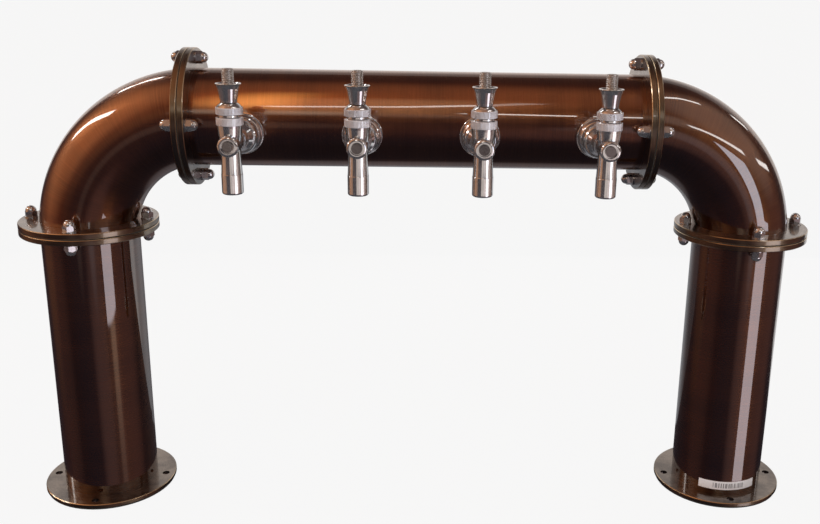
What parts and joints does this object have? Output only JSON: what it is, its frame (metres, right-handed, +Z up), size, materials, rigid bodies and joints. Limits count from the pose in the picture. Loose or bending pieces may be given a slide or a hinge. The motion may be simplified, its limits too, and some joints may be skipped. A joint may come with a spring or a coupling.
{
  "type": "beer tap tower",
  "caption": "Bridge-style draft beer tower of flanged pipe: columns, elbows and a crossbar that carries lever taps, each with its own shank and line.",
  "frame": {"origin": "on the counter plane, midway between the axes of the two columns", "axes": "+X along the crossbar to the right as seen by the person pouring, +Y away from that person, +Z up"},
  "size_m": [0.7494, 0.1807, 0.435],
  "materials": {
    "antique_copper": "antique copper plate, brushed round the tube, under clear lacquer",
    "antique_brass": "antique brass with bright worn rims",
    "bright_chrome": "polished chrome",
    "bolt_steel": "plain turned steel",
    "inner_brass": "turned brass",
    "black_rubber": "smooth black rubber",
    "joint_gasket": "dark pressed gasket sheet",
    "white_plastic": "natural acetal",
    "line_plastic": "drinks line tubing",
    "paper_label": "white paper strip"
  },
  "bodies": {
    "root": {"left_base_flange": "antique_brass", "left_column_top_flange": "antique_brass", "left_elbow_lower_flange": "antique_brass", "left_elbow_upper_flange": "antique_brass", "left_column_tube": "antique_copper", "left_elbow_tube": "antique_copper", "crossbar_left_flange": "antique_brass", "right_base_flange": "antique_brass", "right_column_top_flange": "antique_brass", "right_elbow_lower_flange": "antique_brass", "right_elbow_upper_flange": "antique_brass", "right_column_tube": "antique_copper", "right_elbow_tube": "antique_copper", "crossbar_right_flange": "antique_brass", "crossbar_tube": "antique_copper", "base_gaskets": "black_rubber", "joint_gaskets": "joint_gasket", "joint_studs": "bolt_steel", "joint_washers": "bright_chrome", "acorn_nuts": "bright_chrome", "tap_1_body": "bright_chrome", "tap_1_bonnet": "bright_chrome", "tap_1_friction_washer": "white_plastic", "tap_1_escutcheon": "bright_chrome", "tap_2_body": "bright_chrome", "tap_2_bonnet": "bright_chrome", "tap_2_friction_washer": "white_plastic", "tap_2_escutcheon": "bright_chrome", "tap_3_body": "bright_chrome", "tap_3_bonnet": "bright_chrome", "tap_3_friction_washer": "white_plastic", "tap_3_escutcheon": "bright_chrome", "tap_4_body": "bright_chrome", "tap_4_bonnet": "bright_chrome", "tap_4_friction_washer": "white_plastic", "tap_4_escutcheon": "bright_chrome", "front_plugs": "bright_chrome", "coupling_nuts": "bright_chrome", "shanks": "bright_chrome", "shank_nuts": "inner_brass", "tailpieces": "bolt_steel", "product_lines": "line_plastic", "glycol_line": "line_plastic", "stock_label": "paper_label"},
    "tap_1_handle": {"tap_1_lever": "bolt_steel", "tap_1_ferrule": "bright_chrome"},
    "tap_1_valve": {"tap_1_plunger": "inner_brass", "tap_1_seal": "black_rubber"},
    "tap_2_handle": {"tap_2_lever": "bolt_steel", "tap_2_ferrule": "bright_chrome"},
    "tap_2_valve": {"tap_2_plunger": "inner_brass", "tap_2_seal": "black_rubber"},
    "tap_3_handle": {"tap_3_lever": "bolt_steel", "tap_3_ferrule": "bright_chrome"},
    "tap_3_valve": {"tap_3_plunger": "inner_brass", "tap_3_seal": "black_rubber"},
    "tap_4_handle": {"tap_4_lever": "bolt_steel", "tap_4_ferrule": "bright_chrome"},
    "tap_4_valve": {"tap_4_plunger": "inner_brass", "tap_4_seal": "black_rubber"}
  },
  "joints": [
    {"name": "tap_1_lever_tilt", "type": "hinge", "parent": "root", "child": "tap_1_handle", "pos_m": [-0.15525, -0.103, 0.3882], "axis": [1, 0, 0], "range_deg": [0, 20]},
    {"name": "tap_1_plunger_slide", "type": "slide", "parent": "root", "child": "tap_1_valve", "axis": [0, 1, 0], "range_m": [0, 0.00804]},
    {"name": "tap_2_lever_tilt", "type": "hinge", "parent": "root", "child": "tap_2_handle", "pos_m": [-0.05075, -0.103, 0.3882], "axis": [1, 0, 0], "range_deg": [0, 20]},
    {"name": "tap_2_plunger_slide", "type": "slide", "parent": "root", "child": "tap_2_valve", "axis": [0, 1, 0], "range_m": [0, 0.00804]},
    {"name": "tap_3_lever_tilt", "type": "hinge", "parent": "root", "child": "tap_3_handle", "pos_m": [0.05375, -0.103, 0.3882], "axis": [1, 0, 0], "range_deg": [0, 20]},
    {"name": "tap_3_plunger_slide", "type": "slide", "parent": "root", "child": "tap_3_valve", "axis": [0, 1, 0], "range_m": [0, 0.00804]},
    {"name": "tap_4_lever_tilt", "type": "hinge", "parent": "root", "child": "tap_4_handle", "pos_m": [0.15825, -0.103, 0.3882], "axis": [1, 0, 0], "range_deg": [0, 20]},
    {"name": "tap_4_plunger_slide", "type": "slide", "parent": "root", "child": "tap_4_valve", "axis": [0, 1, 0], "range_m": [0, 0.00804]}
  ],
  "couplings": [
    {"joint": "tap_1_plunger_slide", "follows": "tap_1_lever_tilt", "m_per_rad": 0.023026},
    {"joint": "tap_2_plunger_slide", "follows": "tap_2_lever_tilt", "m_per_rad": 0.023026},
    {"joint": "tap_3_plunger_slide", "follows": "tap_3_lever_tilt", "m_per_rad": 0.023026},
    {"joint": "tap_4_plunger_slide", "follows": "tap_4_lever_tilt", "m_per_rad": 0.023026}
  ]
}
